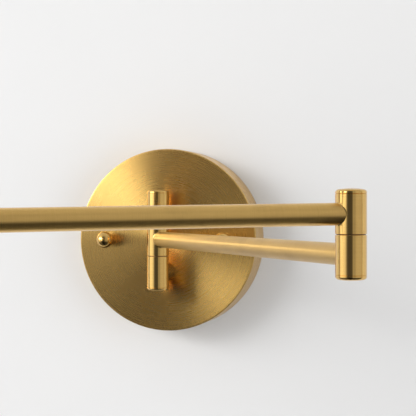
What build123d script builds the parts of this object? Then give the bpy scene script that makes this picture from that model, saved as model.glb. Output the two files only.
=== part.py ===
from build123d import *
import math
import os

# Swing arm wall lamp: a round canopy, a three-piece wall post, two arms and a shaded head.
# X is to the right, Y goes into the wall, Z is up, in millimetres.
# The origin is the centre of the canopy's back, on the wall.

# Canopy
canopy_diameter = 120
canopy_depth = 27
canopy_sheet = 1.2
canopy_edge_radius = 0.8
canopy_inner_radius = 0.5

# Crossbar on the wall box
crossbar_width = 18
crossbar_thickness = 2
crossbar_end = 10
crossbar_corner = 3
cable_hole_diameter = 10
slot_spacing = 54
slot_length = 18
slot_width = 4.5

# Studs and ball nuts that hold the canopy
knob_spacing = 80
stud_diameter = 4
stud_clearance = 0.3
stud_grip = 6
lock_nut_across_flats = 7
lock_nut_height = 3.2
ball_diameter = 10.8
ball_height = 8.6
ball_neck_diameter = 6.4
ball_foot_diameter = 8
ball_foot_height = 0.8

# Ground screw and its lead
ground_screw_offset = 11.5
ground_screw_diameter = 3.5
ground_head_diameter = 6.4
ground_head_height = 2
ground_wire_diameter = 1.8
ground_lug_diameter = 7
ground_lug_thickness = 0.8
ground_wire_bend = 4
ground_wire_rise = 12

# Terminal block inside the canopy
terminal_width = 24
terminal_height = 14
terminal_depth = 12
terminal_centre_height = 27
terminal_screw_diameter = 4
terminal_screw_depth = 5
terminal_screw_spacing = 9
terminal_slot_width = 0.8
terminal_pad_thickness = 1

# Wall post
post_standoff = 21
post_drop = 32
post_diameter = 14
post_lower_length = 20
post_upper_length = 18.8
end_disc_rim = 0.4
end_disc_crown = 1.6
end_disc_shoulder = 1.2
end_spigot_diameter = 5
end_spigot_length = 3
seam = 0.4
barrel_edge = 0.15

# Stub that carries the post, and what fastens it to the canopy
stub_diameter = 12
nipple_grip = 8
load_washer_diameter = 36
load_washer_thickness = 2
tooth_washer_diameter = 14
tooth_washer_thickness = 1.2
tooth_count = 12
tooth_depth = 1.2
hex_nut_across_flats = 13
hex_nut_height = 5
nipple_tail = 1
nipple_hole_clearance = 0.2

# Hollow pivots
pivot_diameter = 8
pivot_bore = 5.6
pivot_clearance = 0.05
pivot_seat = 7.5
pivot_head_grip = 12.2
cut_margin = 0.5
window_height = 6
window_rise = 0.3
washer_thickness = 0.3
washer_inset = 0.5
washer_clearance = 0.1
stop_pin_diameter = 1.2
stop_pin_circle = 11.2
stop_pin_depth = 2.5
stop_pin_reach = 0.85
stop_groove_depth = 1
stop_clearance = 0.1

# Swing, in degrees: the wall joint from straight out, the elbow from straight on
wall_swing_limit = 85
wall_swing_rest = 34.9
elbow_swing_limit = 150
elbow_swing_rest = -91.9

# Arms
knuckle_diameter = 14
knuckle_length = 21
arm_diameter = 10
arm_wall = 1
lower_arm_length = 260
upper_arm_length = 300
upper_arm_droop = 0.8
lead_hole_diameter = 7

# Elbow and end barrels
barrel_length = 17.8
barrel_bore = 11.2
barrel_floor = 2.2
cap_rim = 0.6
cap_crown = 2
cap_shoulder = 1.4
cap_spigot = 1.5
cap_spigot_wall = 1
spring_washer_thickness = 0.5
spring_washer_diameter = 10.6
ring_nut_diameter = 10.8
ring_nut_height = 2.2
ring_nut_slot = 1.2
sliding_gap = 0.05

# Twin-core lead
lead_diameter = 3.4
lead_bend = 4.5
lead_gap = 0.3
lead_tail = 2
lead_drop_in_canopy = 12
lead_wide_bend = 6
lead_entry = 6

# Head: nipple, cup and lampholder on the end barrel
end_barrel_top_wall = 3
socket_nipple_diameter = 10
socket_nipple_bore = 7
socket_nipple_rise = 8
cup_height = 16
cup_foot_diameter = 20
cup_rim_diameter = 39
cup_wall = 1
cup_nut_across_flats = 14
cup_nut_height = 3
holder_diameter = 34
holder_wall = 0.8
holder_cap_rise = 4.2
holder_bush_height = 2
holder_bush_diameter = 15
holder_cap_height = 12.8
holder_length = 35
shoulder_diameter = 41
shoulder_thickness = 2
shoulder_height = 21
insulator_clearance = 0.2
insulator_height = 13.5
screw_shell_diameter = 28.6
screw_shell_wall = 0.8
screw_shell_length = 20
contact_diameter = 8
contact_height = 1.2

# Turn key of the lampholder
key_height = 6
key_spindle_diameter = 3.2
key_hole_clearance = 0.2
key_reach = 33
key_paddle_length = 10
key_paddle_width = 13
key_paddle_thickness = 3.4
key_paddle_edge = 1.5
cam_diameter = 8
cam_length = 5
cam_clearance = 0.4

# Bulb
bulb_base_diameter = 26.2
bulb_base_length = 20
bulb_insulator_height = 3.5
bulb_tip_diameter = 9
bulb_tip_height = 1.5
bulb_neck_diameter = 27.6
bulb_diameter = 60
bulb_body_length = 34
bulb_wall = 1.6
bulb_lip = 4
bulb_ledge = 1
bulb_dome_wall = 1.2
bulb_dome_lip = 2
board_thickness = 1.6
bulb_fit = 0.1

# Shade and its carrier
shade_rise = 14
shade_height = 130
shade_bottom_diameter = 160
shade_top_diameter = 124
linen_thickness = 0.8
lining_thickness = 0.6
hem_height = 10
hem_thickness = 0.5
glue_line = 0.05
ring_wire_diameter = 3
ring_fit = 0.1
carrier_ring_diameter = 46
carrier_ring_thickness = 2
carrier_ring_clearance = 0.3
spoke_count = 3
spoke_diameter = 3
first_spoke_angle = 0
shade_nut_diameter = 44
shade_nut_height = 6
shade_nut_flutes = 24
flute_diameter = 2

# Heights that follow from the sizes above
post_foot = -post_drop
post_lower_bottom = post_foot + end_disc_rim + end_disc_crown
post_lower_top = post_lower_bottom + post_lower_length
knuckle_bottom = post_lower_top + seam
knuckle_top = knuckle_bottom + knuckle_length
post_upper_bottom = knuckle_top + seam
post_upper_top = post_upper_bottom + post_upper_length
stub_height = (post_foot + post_lower_top) / 2
arm_height = (knuckle_bottom + knuckle_top) / 2
elbow_lower_bottom = arm_height - barrel_length / 2
elbow_lower_top = arm_height + barrel_length / 2
elbow_upper_bottom = elbow_lower_top + seam
elbow_upper_top = elbow_upper_bottom + barrel_length
upper_arm_height = (elbow_upper_bottom + elbow_upper_top) / 2
droop_fall = upper_arm_length * math.tan(math.radians(upper_arm_droop))
end_height = upper_arm_height - droop_fall
end_bottom = end_height - barrel_length / 2
end_top = end_height + barrel_length / 2
holder_bottom = end_top + holder_cap_rise
holder_shell_bottom = holder_bottom + holder_cap_height
holder_top = holder_shell_bottom + holder_length
shoulder_bottom = holder_shell_bottom + shoulder_height
shoulder_top = shoulder_bottom + shoulder_thickness
carrier_top = shoulder_top + carrier_ring_thickness
insulator_bottom = holder_shell_bottom
insulator_top = insulator_bottom + insulator_height
key_centre = insulator_bottom + key_height
contact_top = insulator_top + contact_height
bulb_base_bottom = contact_top
bulb_base_top = bulb_base_bottom + bulb_tip_height + bulb_insulator_height + bulb_base_length
bulb_body_top = bulb_base_top + bulb_body_length
shade_bottom = end_top + shade_rise
shade_top = shade_bottom + shade_height

# Places of the frames in which the pieces are drawn
wall_frame = Plane(origin=(0, 0, 0), x_dir=(1, 0, 0), z_dir=(0, -1, 0)).location
post_reach = canopy_depth + post_standoff
post_axis = Location((0, -post_reach, 0))
lower_heading = wall_swing_rest - 90
lower_frame = Location((0, -post_reach, 0), (0, 0, lower_heading))
elbow_frame = lower_frame * Location((lower_arm_length, 0, 0))
upper_frame = elbow_frame * Location((0, 0, 0), (0, 0, elbow_swing_rest))
head_frame = upper_frame * Location((upper_arm_length, 0, 0))

FROM_BELOW = (Align.CENTER, Align.CENTER, Align.MIN)


# Small shared shapes


def rod(diameter, low, high):
    """An upright round bar between two heights."""
    return Pos(0, 0, low) * Cylinder(diameter / 2, high - low, align=FROM_BELOW)


def ring(outer, inner, low, high):
    """An upright round tube or washer between two heights."""
    return rod(outer, low, high) - rod(inner, low, high)


def turned(*points):
    """A turned piece from the (radius, height) points of its section."""
    return revolve(Plane.XZ * make_face(Polyline(*points, close=True)), Axis.Z)


def hexagon(across_flats, bore, low, high):
    """A hexagon nut between two heights."""
    outline = RegularPolygon(across_flats / 2, 6, major_radius=False)
    return Pos(0, 0, low) * extrude(outline, high - low) - rod(bore, low, high)


def ring_sector(inner, outer, low, high, middle_angle, half_angle):
    """A piece of a ring, to each side of an angle about the upright axis."""
    width = (outer - inner) / 2
    middle = Pos((inner + outer) / 4, (low + high) / 2)
    section = Plane.XZ * middle * Rectangle(width, high - low)
    return Rot(0, 0, middle_angle - half_angle) * revolve(section, Axis.Z, 2 * half_angle)


def side_hole(diameter, height, angle, reach):
    """A round bar that leaves the upright axis level, towards an angle."""
    bar = Rot(0, 90, 0) * Cylinder(diameter / 2, reach, align=FROM_BELOW)
    return Rot(0, 0, angle) * Pos(0, 0, height) * bar


def round_wire(diameter, points, radii):
    """A round wire along straight runs joined by tangent arcs."""
    path = FilletPolyline(*points, radius=radii)
    start = Plane(path @ 0, z_dir=path % 0)
    return sweep(start * Circle(diameter / 2), path=path)


def with_edges(piece, size):
    """The piece with the small chamfer that a lathe leaves on its outer end edges."""
    ends = piece.edges().filter_by(GeomType.CIRCLE).group_by(SortBy.RADIUS)[-1]
    return chamfer(ends, size)


# Canopy and what holds it on the wall


def make_canopy():
    shell = rod(canopy_diameter, 0, canopy_depth)
    shell = fillet(shell.edges().sort_by(Axis.Z)[-1], canopy_edge_radius)
    hollow = rod(canopy_diameter - 2 * canopy_sheet, 0, canopy_depth - canopy_sheet)
    hollow = fillet(hollow.edges().sort_by(Axis.Z)[-1], canopy_inner_radius)
    shell -= hollow
    for side in (-1, 1):
        hole = rod(stud_diameter + 2 * stud_clearance, 0, canopy_depth)
        shell -= Pos(side * knob_spacing / 2, 0, 0) * hole
    nipple_hole = rod(pivot_diameter + 2 * nipple_hole_clearance, 0, canopy_depth)
    shell -= Pos(0, stub_height, 0) * nipple_hole
    return wall_frame * shell


def make_crossbar():
    outline = RectangleRounded(knob_spacing + 2 * crossbar_end, crossbar_width, crossbar_corner)
    outline -= Circle(cable_hole_diameter / 2)
    outline -= Pos(ground_screw_offset, 0) * Circle(ground_screw_diameter / 2)
    for side in (-1, 1):
        outline -= Pos(side * slot_spacing / 2, 0) * SlotOverall(slot_length, slot_width)
        outline -= Pos(side * knob_spacing / 2, 0) * Circle(stud_diameter / 2)
    return wall_frame * extrude(outline, crossbar_thickness)


def on_both_sides(piece):
    """The same piece at the left and at the right stud."""
    left = Pos(-knob_spacing / 2, 0, 0) * piece
    right = Pos(knob_spacing / 2, 0, 0) * piece
    return wall_frame * (left + right)


def make_studs():
    return on_both_sides(rod(stud_diameter, 0, canopy_depth + stud_grip))


def make_lock_nuts():
    low = crossbar_thickness
    return on_both_sides(hexagon(lock_nut_across_flats, stud_diameter, low, low + lock_nut_height))


def make_ball_nuts():
    ball = Pos(0, 0, canopy_depth + ball_height) * Sphere(ball_diameter / 2)
    neck = rod(ball_neck_diameter, canopy_depth, canopy_depth + ball_height)
    foot = rod(ball_foot_diameter, canopy_depth, canopy_depth + ball_foot_height)
    nut = ball + neck + foot - rod(stud_diameter, canopy_depth, canopy_depth + stud_grip)
    return on_both_sides(nut)


def make_ground_screw():
    lug_top = crossbar_thickness + ground_lug_thickness
    shank = rod(ground_screw_diameter, 0, lug_top)
    head = rod(ground_head_diameter, lug_top, lug_top + ground_head_height)
    head = fillet(head.edges().sort_by(Axis.Z)[-1], ground_head_height / 2)
    return wall_frame * Pos(ground_screw_offset, 0, 0) * (shank + head)


def make_ground_lead():
    lug_low = crossbar_thickness
    lug_high = lug_low + ground_lug_thickness
    lug = ring(ground_lug_diameter, ground_screw_diameter, lug_low, lug_high)
    lug = Pos(ground_screw_offset, 0, 0) * lug
    far_high = canopy_depth - canopy_sheet - load_washer_thickness - tooth_washer_thickness
    far_low = far_high - ground_lug_thickness
    far_lug = Pos(0, stub_height, 0) * ring(hex_nut_across_flats, pivot_diameter, far_low, far_high)
    tab = Pos(0, stub_height, far_low) * Box(
        ground_screw_offset + ground_lug_diameter / 2,
        ground_lug_diameter,
        ground_lug_thickness,
        align=(Align.MIN, Align.CENTER, Align.MIN),
    )
    tab -= Pos(0, stub_height, 0) * rod(hex_nut_across_flats, far_low, far_high)
    wire_start = lug_low + ground_wire_diameter / 2
    points = [
        (ground_screw_offset, -ground_lug_diameter / 2, wire_start),
        (ground_screw_offset, -ground_wire_rise, wire_start),
        (ground_screw_offset, stub_height, ground_wire_rise),
        (ground_screw_offset, stub_height, far_low),
    ]
    wire = round_wire(ground_wire_diameter, points, ground_wire_bend)
    crimp = Sphere(ground_wire_diameter / 2)
    crimp = Pos(ground_screw_offset, -ground_lug_diameter / 2, wire_start) * crimp
    head_space = rod(ground_head_diameter + 2 * washer_clearance, lug_high, canopy_depth)
    crimp -= Pos(ground_screw_offset, 0, 0) * head_space
    return wall_frame * (lug + far_lug + tab + wire + crimp)


def make_terminal_pad():
    high = canopy_depth - canopy_sheet
    pad = Box(terminal_width, terminal_height, terminal_pad_thickness, align=FROM_BELOW)
    return wall_frame * Pos(0, terminal_centre_height, high - terminal_pad_thickness) * pad


def terminal_low():
    return canopy_depth - canopy_sheet - terminal_pad_thickness - terminal_depth


def terminal_screw_places():
    low = terminal_low()
    return [Pos(side * terminal_screw_spacing, terminal_centre_height, low) for side in (-1, 0, 1)]


def make_terminal_block():
    block = Box(terminal_width, terminal_height, terminal_depth, align=FROM_BELOW)
    block = Pos(0, terminal_centre_height, terminal_low()) * block
    for place in terminal_screw_places():
        block -= place * rod(terminal_screw_diameter, 0, terminal_screw_depth)
    return wall_frame * block


def make_terminal_screws():
    slot = Box(terminal_screw_diameter, terminal_slot_width, terminal_slot_width, align=FROM_BELOW)
    screw = rod(terminal_screw_diameter, 0, terminal_screw_depth) - slot
    screws = Part()
    for place in terminal_screw_places():
        screws += place * screw
    return wall_frame * screws


# Stub, its fastening and the wall post


def make_post_stub():
    stub = rod(stub_diameter, canopy_depth, post_reach)
    stub -= rod(pivot_diameter, canopy_depth, canopy_depth + nipple_grip)
    stub -= rod(pivot_bore, canopy_depth + nipple_grip, post_reach)
    stub = wall_frame * Pos(0, stub_height, 0) * stub
    return stub - post_axis * rod(post_diameter, post_foot, knuckle_top)


def inside_canopy(piece):
    """A piece on the nipple's axis, at depths measured out from the wall."""
    return wall_frame * Pos(0, stub_height, 0) * piece


def nipple_stack():
    """Depths of the load washer, toothed washer, ground lug and nut, from the canopy inwards."""
    sheet = canopy_depth - canopy_sheet
    washer = sheet - load_washer_thickness
    toothed = washer - tooth_washer_thickness
    lug = toothed - ground_lug_thickness
    nut = lug - hex_nut_height
    return sheet, washer, toothed, lug, nut


def make_post_nipple():
    tail = nipple_stack()[-1] - nipple_tail
    return inside_canopy(ring(pivot_diameter, pivot_bore, tail, canopy_depth + nipple_grip))


def make_load_washer():
    sheet, washer = nipple_stack()[:2]
    return inside_canopy(ring(load_washer_diameter, pivot_diameter, washer, sheet))


def make_tooth_washer():
    high, low = nipple_stack()[1:3]
    washer = ring(tooth_washer_diameter, pivot_diameter, low, high)
    notch = Box(2 * tooth_depth, tooth_depth, high - low, align=FROM_BELOW)
    notch = Pos(tooth_washer_diameter / 2, 0, low) * notch
    for index in range(tooth_count):
        washer -= Rot(0, 0, index * 360 / tooth_count) * notch
    return inside_canopy(washer)


def make_post_nut():
    high, low = nipple_stack()[3:5]
    return inside_canopy(hexagon(hex_nut_across_flats, pivot_diameter, low, high))


def pivot_bottom():
    return post_lower_top - pivot_seat


def pivot_top():
    return post_upper_bottom + pivot_head_grip


def make_post_lower_barrel():
    barrel = with_edges(rod(post_diameter, post_lower_bottom, post_lower_top), barrel_edge)
    barrel -= rod(pivot_diameter, pivot_bottom(), post_lower_top)
    barrel -= rod(pivot_bore, stub_height - pivot_bore / 2, pivot_bottom())
    barrel -= side_hole(pivot_bore, stub_height, 90, post_diameter)
    barrel -= rod(end_spigot_diameter, post_lower_bottom, post_lower_bottom + end_spigot_length)
    barrel -= stop_pin(post_lower_top, 90)
    return post_axis * barrel


def make_post_upper_barrel():
    barrel = with_edges(rod(post_diameter, post_upper_bottom, post_upper_top), barrel_edge)
    barrel -= rod(pivot_diameter, post_upper_bottom, pivot_top())
    barrel -= rod(end_spigot_diameter, post_upper_top - end_spigot_length, post_upper_top)
    return post_axis * barrel


def crowned(diameter, rim, crown, shoulder):
    """A disc with a straight rim, a round shoulder and a low crown that runs on from it."""
    radius = diameter / 2
    inset = radius - shoulder
    crown_radius = (inset**2 + crown**2 - shoulder**2) / (2 * (crown - shoulder))
    crown_centre = rim + crown - crown_radius
    turn = math.degrees(math.atan2(rim - crown_centre, inset))
    section = (
        Line((0, 0), (radius - barrel_edge, 0))
        + Line((radius - barrel_edge, 0), (radius, barrel_edge))
        + Line((radius, barrel_edge), (radius, rim))
        + CenterArc((inset, rim), shoulder, 0, turn)
        + CenterArc((0, crown_centre), crown_radius, turn, 90 - turn)
        + Line((0, rim + crown), (0, 0))
    )
    return revolve(Plane.XZ * make_face(section), Axis.Z)


def make_end_discs():
    disc = crowned(post_diameter, end_disc_rim, end_disc_crown, end_disc_shoulder)
    disc += rod(end_spigot_diameter, -end_spigot_length, 0)
    top = Pos(0, 0, post_upper_top) * disc
    foot = Pos(0, 0, post_lower_bottom) * Rot(180, 0, 0) * disc
    return post_axis * (top + foot)


def lead_window(middle_angle, half_angle):
    """The space that lets the lead out of a pivot at the lower arm's height."""
    middle = arm_height + window_rise
    low, high = middle - window_height / 2, middle + window_height / 2
    inner, outer = pivot_bore - 2 * cut_margin, pivot_diameter + 2 * cut_margin
    return ring_sector(inner, outer, low, high, middle_angle, half_angle)


def make_post_pivot():
    pivot = ring(pivot_diameter, pivot_bore, pivot_bottom(), pivot_top())
    lead_half_angle = math.degrees(math.asin((lead_diameter + 2 * washer_clearance) / pivot_bore))
    pivot -= lead_window(-90, wall_swing_limit + lead_half_angle)
    return post_axis * pivot


def friction_washer(low, pin_angle=None):
    outer = post_diameter - 2 * washer_inset
    high = low + washer_thickness
    washer = ring(outer, pivot_diameter + 2 * washer_clearance, low, high)
    if pin_angle is not None:
        pin_hole = rod(stop_pin_diameter + 2 * washer_clearance, low, high)
        washer -= Rot(0, 0, pin_angle) * Pos(stop_pin_circle / 2, 0, 0) * pin_hole
    return washer


def make_post_washers():
    under = friction_washer(post_lower_top, 90)
    over = friction_washer(post_upper_bottom - washer_thickness)
    return post_axis * (under + over)


def stop_pin(seat, angle):
    """The pin that stands in a lower barrel and ends the swing of the barrel above."""
    pin = rod(stop_pin_diameter, seat - stop_pin_depth, seat + seam + stop_pin_reach)
    return Rot(0, 0, angle) * Pos(stop_pin_circle / 2, 0, 0) * pin


def stop_groove(low, swing_limit):
    """The groove that lets a barrel swing over its stop pin, opposite its arm."""
    radius = stop_pin_circle / 2
    half_width = stop_pin_diameter / 2 + stop_clearance
    half_angle = swing_limit + math.degrees(math.asin(half_width / radius))
    inner, outer = 2 * (radius - half_width), 2 * (radius + half_width)
    return ring_sector(inner, outer, low, low + stop_groove_depth, 180, half_angle)


# Lower arm, from the knuckle on the post to the elbow's lower barrel


def make_knuckle():
    knuckle = with_edges(rod(knuckle_diameter, knuckle_bottom, knuckle_top), barrel_edge)
    knuckle -= rod(pivot_diameter + 2 * pivot_clearance, knuckle_bottom, knuckle_top)
    knuckle -= side_hole(lead_hole_diameter, arm_height, 0, knuckle_diameter)
    knuckle -= stop_groove(knuckle_bottom, wall_swing_limit)
    return lower_frame * knuckle


def arm_tube(length, start_height, fall):
    """A tube between two upright barrels, coped to fit round them."""
    run = math.hypot(length, fall)
    slope = math.degrees(math.atan2(fall, length))
    tube = rod(arm_diameter, 0, run) - rod(arm_diameter - 2 * arm_wall, 0, run)
    tube = Pos(0, 0, start_height) * Rot(0, 90 + slope, 0) * tube
    top = start_height + 2 * arm_diameter
    bottom = start_height - fall - 2 * arm_diameter
    tube -= rod(knuckle_diameter, bottom, top)
    tube -= Pos(length, 0, 0) * rod(knuckle_diameter, bottom, top)
    return tube


def make_lower_arm_tube():
    return lower_frame * arm_tube(lower_arm_length, arm_height, 0)


def elbow_pivot_top():
    return elbow_upper_bottom + barrel_floor + spring_washer_thickness + sliding_gap + ring_nut_height


def make_elbow_lower_barrel():
    barrel = with_edges(rod(knuckle_diameter, elbow_lower_bottom, elbow_lower_top), barrel_edge)
    barrel -= rod(pivot_diameter, elbow_lower_bottom, elbow_lower_top)
    barrel -= side_hole(lead_hole_diameter, arm_height, 180, knuckle_diameter)
    barrel -= stop_pin(elbow_lower_top, 180)
    return elbow_frame * barrel


def domed_cap(bore):
    """The cap of an elbow barrel, with the spigot that is pressed into the barrel's bore."""
    cap = crowned(knuckle_diameter, cap_rim, cap_crown, cap_shoulder)
    return cap + ring(bore, bore - 2 * cap_spigot_wall, -cap_spigot, 0)


def make_elbow_bottom_cap():
    return elbow_frame * Pos(0, 0, elbow_lower_bottom) * Rot(180, 0, 0) * domed_cap(pivot_diameter)


def make_elbow_pivot():
    low = elbow_lower_bottom + cap_spigot
    pivot = ring(pivot_diameter, pivot_bore, low, elbow_pivot_top())
    window_width = lead_diameter + 2 * cut_margin
    towards_arm = (Align.MAX, Align.CENTER, Align.CENTER)
    window = Box(pivot_diameter, window_width, window_height, align=towards_arm)
    pivot -= Pos(0, 0, arm_height + window_rise) * window
    return elbow_frame * pivot


def make_elbow_washer():
    return elbow_frame * friction_washer(elbow_lower_top, 180)


def make_spring_washer():
    low = elbow_upper_bottom + barrel_floor + sliding_gap
    inner = pivot_diameter + 2 * washer_clearance
    return elbow_frame * ring(spring_washer_diameter, inner, low, low + spring_washer_thickness)


def make_ring_nut():
    high = elbow_pivot_top()
    low = high - ring_nut_height
    nut = ring(ring_nut_diameter, pivot_diameter, low, high)
    slot = Box(ring_nut_diameter, ring_nut_slot, ring_nut_slot, align=FROM_BELOW)
    nut -= Pos(0, 0, high - ring_nut_slot) * slot
    return elbow_frame * nut


def make_stop_pin(frame, seat, angle):
    return frame * stop_pin(seat, angle)


# Upper arm, from the elbow's upper barrel to the end barrel


def make_elbow_upper_barrel():
    barrel = with_edges(rod(knuckle_diameter, elbow_upper_bottom, elbow_upper_top), barrel_edge)
    barrel -= rod(barrel_bore, elbow_upper_bottom + barrel_floor, elbow_upper_top)
    barrel -= rod(pivot_diameter + 2 * pivot_clearance, elbow_upper_bottom, elbow_upper_top)
    barrel -= side_hole(lead_hole_diameter, upper_arm_height, 0, knuckle_diameter)
    barrel -= stop_groove(elbow_upper_bottom, elbow_swing_limit)
    return upper_frame * barrel


def make_elbow_top_cap():
    return upper_frame * Pos(0, 0, elbow_upper_top) * domed_cap(barrel_bore)


def make_upper_arm_tube():
    return upper_frame * arm_tube(upper_arm_length, upper_arm_height, droop_fall)


def make_end_barrel():
    barrel = with_edges(rod(knuckle_diameter, end_bottom, end_top), barrel_edge)
    barrel -= rod(barrel_bore, end_bottom, end_top - end_barrel_top_wall)
    barrel -= rod(socket_nipple_diameter, end_top - end_barrel_top_wall, end_top)
    barrel -= side_hole(lead_hole_diameter, end_height, 180, knuckle_diameter)
    return head_frame * barrel


def make_end_cap():
    return head_frame * Pos(0, 0, end_bottom) * Rot(180, 0, 0) * domed_cap(barrel_bore)


# Leads


def make_canopy_lead():
    low = canopy_depth - canopy_sheet - terminal_pad_thickness - terminal_depth / 2
    entry = terminal_centre_height - terminal_height / 2
    start = arm_height - lead_bend - lead_tail - lead_gap
    rise = low - lead_drop_in_canopy
    points = [
        (0, start, post_reach),
        (0, stub_height, post_reach),
        (0, stub_height, lead_drop_in_canopy),
        (0, entry - lead_entry - rise, lead_drop_in_canopy),
        (0, entry - lead_entry, low),
        (0, entry, low),
    ]
    radii = [lead_bend, lead_wide_bend, lead_wide_bend, lead_wide_bend]
    return wall_frame * round_wire(lead_diameter, points, radii)


def make_lower_arm_lead():
    points = [
        (0, 0, arm_height - lead_bend - lead_tail),
        (0, 0, arm_height),
        (lower_arm_length, 0, arm_height),
        (lower_arm_length, 0, elbow_upper_bottom - lead_gap),
    ]
    return lower_frame * round_wire(lead_diameter, points, lead_bend)


def make_upper_arm_lead():
    points = [
        (0, 0, elbow_upper_bottom),
        (0, 0, upper_arm_height),
        (upper_arm_length, 0, end_height),
        (upper_arm_length, 0, insulator_bottom),
    ]
    return upper_frame * round_wire(lead_diameter, points, lead_bend)


# Lampholder on the end barrel


def make_socket_nipple():
    low = end_top - end_barrel_top_wall
    high = end_top + socket_nipple_rise
    return head_frame * ring(socket_nipple_diameter, socket_nipple_bore, low, high)


def make_socket_cup():
    foot, rim = cup_foot_diameter / 2, cup_rim_diameter / 2
    inner_foot, inner_rim = foot - cup_wall, rim - cup_wall
    outer_belly = ((foot + 2 * rim) / 3, cup_height / 3)
    inner_belly = ((inner_foot + 2 * inner_rim) / 3, cup_height / 3 + cup_wall)
    outer_side = ThreePointArc((foot, 0), outer_belly, (rim, cup_height))
    inner_side = ThreePointArc((inner_rim, cup_height), inner_belly, (inner_foot, cup_wall))
    section = (
        Line((0, 0), (foot, 0))
        + outer_side
        + Line((rim, cup_height), (inner_rim, cup_height))
        + inner_side
        + Line((inner_foot, cup_wall), (0, cup_wall))
        + Line((0, cup_wall), (0, 0))
    )
    cup = revolve(Plane.XZ * make_face(section), Axis.Z)
    cup -= rod(socket_nipple_diameter, 0, cup_wall)
    return head_frame * Pos(0, 0, end_top) * cup


def make_cup_nut():
    low = end_top + cup_wall
    return head_frame * hexagon(cup_nut_across_flats, socket_nipple_diameter, low, low + cup_nut_height)


def make_holder_cap():
    outer, bush = holder_diameter / 2, holder_bush_diameter / 2
    bore = socket_nipple_diameter / 2
    ledge = holder_bush_height + 2 * holder_wall
    outer_side = ThreePointArc(
        (bush, holder_bush_height),
        ((bush + 2 * outer) / 3, holder_cap_height / 2),
        (outer, holder_cap_height),
    )
    inner = outer - holder_wall
    inner_side = ThreePointArc(
        (inner, holder_cap_height),
        ((bush + 2 * inner) / 3, holder_cap_height / 2 + holder_wall),
        (bush - holder_wall, ledge),
    )
    section = (
        Line((bore, 0), (bush, 0))
        + Line((bush, 0), (bush, holder_bush_height))
        + outer_side
        + Line((outer, holder_cap_height), (inner, holder_cap_height))
        + inner_side
        + Line((bush - holder_wall, ledge), (bore, ledge))
        + Line((bore, ledge), (bore, 0))
    )
    cap = revolve(Plane.XZ * make_face(section), Axis.Z)
    return head_frame * Pos(0, 0, holder_bottom) * cap


def key_axis(diameter, start, end):
    """A bar on the turn key's axis, which leaves the lampholder square to the arm."""
    bar = Rot(0, 90, 0) * rod(diameter, start, end)
    return Rot(0, 0, 90) * Pos(0, 0, key_centre) * bar


def make_holder_shell():
    inner = holder_diameter - 2 * holder_wall
    shell = ring(holder_diameter, inner, holder_shell_bottom, holder_top)
    shell += ring(shoulder_diameter, inner, shoulder_bottom, shoulder_top)
    shell -= key_axis(key_spindle_diameter + 2 * key_hole_clearance, 0, holder_diameter)
    return head_frame * shell


def make_insulator():
    diameter = holder_diameter - 2 * holder_wall - 2 * insulator_clearance
    body = rod(diameter, insulator_bottom, insulator_top)
    reach = cam_length / 2 + cam_clearance
    body -= key_axis(cam_diameter + 2 * cam_clearance, -reach, reach)
    body -= key_axis(key_spindle_diameter + 2 * key_hole_clearance, 0, diameter)
    return head_frame * body


def make_screw_shell():
    inner = screw_shell_diameter - 2 * screw_shell_wall
    high = insulator_top + screw_shell_length
    return head_frame * ring(screw_shell_diameter, inner, insulator_top, high)


def make_centre_contact():
    return head_frame * rod(contact_diameter, insulator_top, contact_top)


def make_switch_cam():
    cam = key_axis(cam_diameter, -cam_length / 2, cam_length / 2)
    flat = Pos(0, 0, key_centre + cam_diameter / 2) * Box(cam_diameter, cam_length, cam_diameter / 4)
    return head_frame * (cam - flat)


def make_switch_key():
    spindle = key_axis(key_spindle_diameter, cam_length / 2, key_reach - key_paddle_length / 2)
    paddle = Box(key_paddle_thickness, key_paddle_length, key_paddle_width)
    paddle = fillet(paddle.edges(), key_paddle_edge)
    paddle = Pos(0, key_reach - key_paddle_length / 2, key_centre) * paddle
    return head_frame * (spindle + paddle)


# LED bulb


def make_bulb_base():
    radius = bulb_base_diameter / 2
    tip = bulb_tip_diameter / 2
    low = bulb_base_bottom
    edge = low + bulb_tip_height
    skirt = edge + bulb_insulator_height
    high = bulb_base_top
    base = turned((0, low), (tip, low), (tip, edge), (radius, skirt), (radius, high), (0, high))
    return head_frame * base


def make_bulb_body():
    neck = bulb_neck_diameter / 2
    wide = bulb_diameter / 2
    low, high = bulb_base_top, bulb_body_top
    ledge = high - bulb_lip
    middle = (low + high) / 2
    outer_middle = (neck + wide) / 2 + bulb_wall
    outer = ThreePointArc((neck, low), (outer_middle, middle), (wide, high))
    ledge_edge = wide - 2 * bulb_wall - bulb_ledge
    inner_middle = outer_middle - bulb_wall
    inner = ThreePointArc((ledge_edge, ledge), (inner_middle, middle), (neck - bulb_wall, low))
    section = (
        outer
        + Line((wide, high), (wide - bulb_wall, high))
        + Line((wide - bulb_wall, high), (wide - bulb_wall, ledge))
        + Line((wide - bulb_wall, ledge), (ledge_edge, ledge))
        + inner
        + Line((neck - bulb_wall, low), (neck, low))
    )
    return head_frame * revolve(Plane.XZ * make_face(section), Axis.Z)


def make_led_board():
    low = bulb_body_top - bulb_lip
    return head_frame * rod(bulb_diameter - 2 * bulb_wall - 2 * bulb_fit, low, low + board_thickness)


def make_bulb_dome():
    inner_diameter = bulb_diameter - 2 * bulb_dome_wall
    dome = Sphere(bulb_diameter / 2) - Sphere(inner_diameter / 2)
    dome &= rod(bulb_diameter, 0, bulb_diameter)
    lip_outer = bulb_diameter - 2 * bulb_wall - 2 * bulb_fit
    lip_inner = lip_outer - 2 * bulb_dome_wall
    shelf = ring(bulb_diameter, lip_inner, 0, bulb_dome_wall) & Sphere(bulb_diameter / 2)
    dome += shelf + ring(lip_outer, lip_inner, -bulb_dome_lip, bulb_dome_wall / 2)
    return head_frame * Pos(0, 0, bulb_body_top) * dome


# Shade


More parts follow.
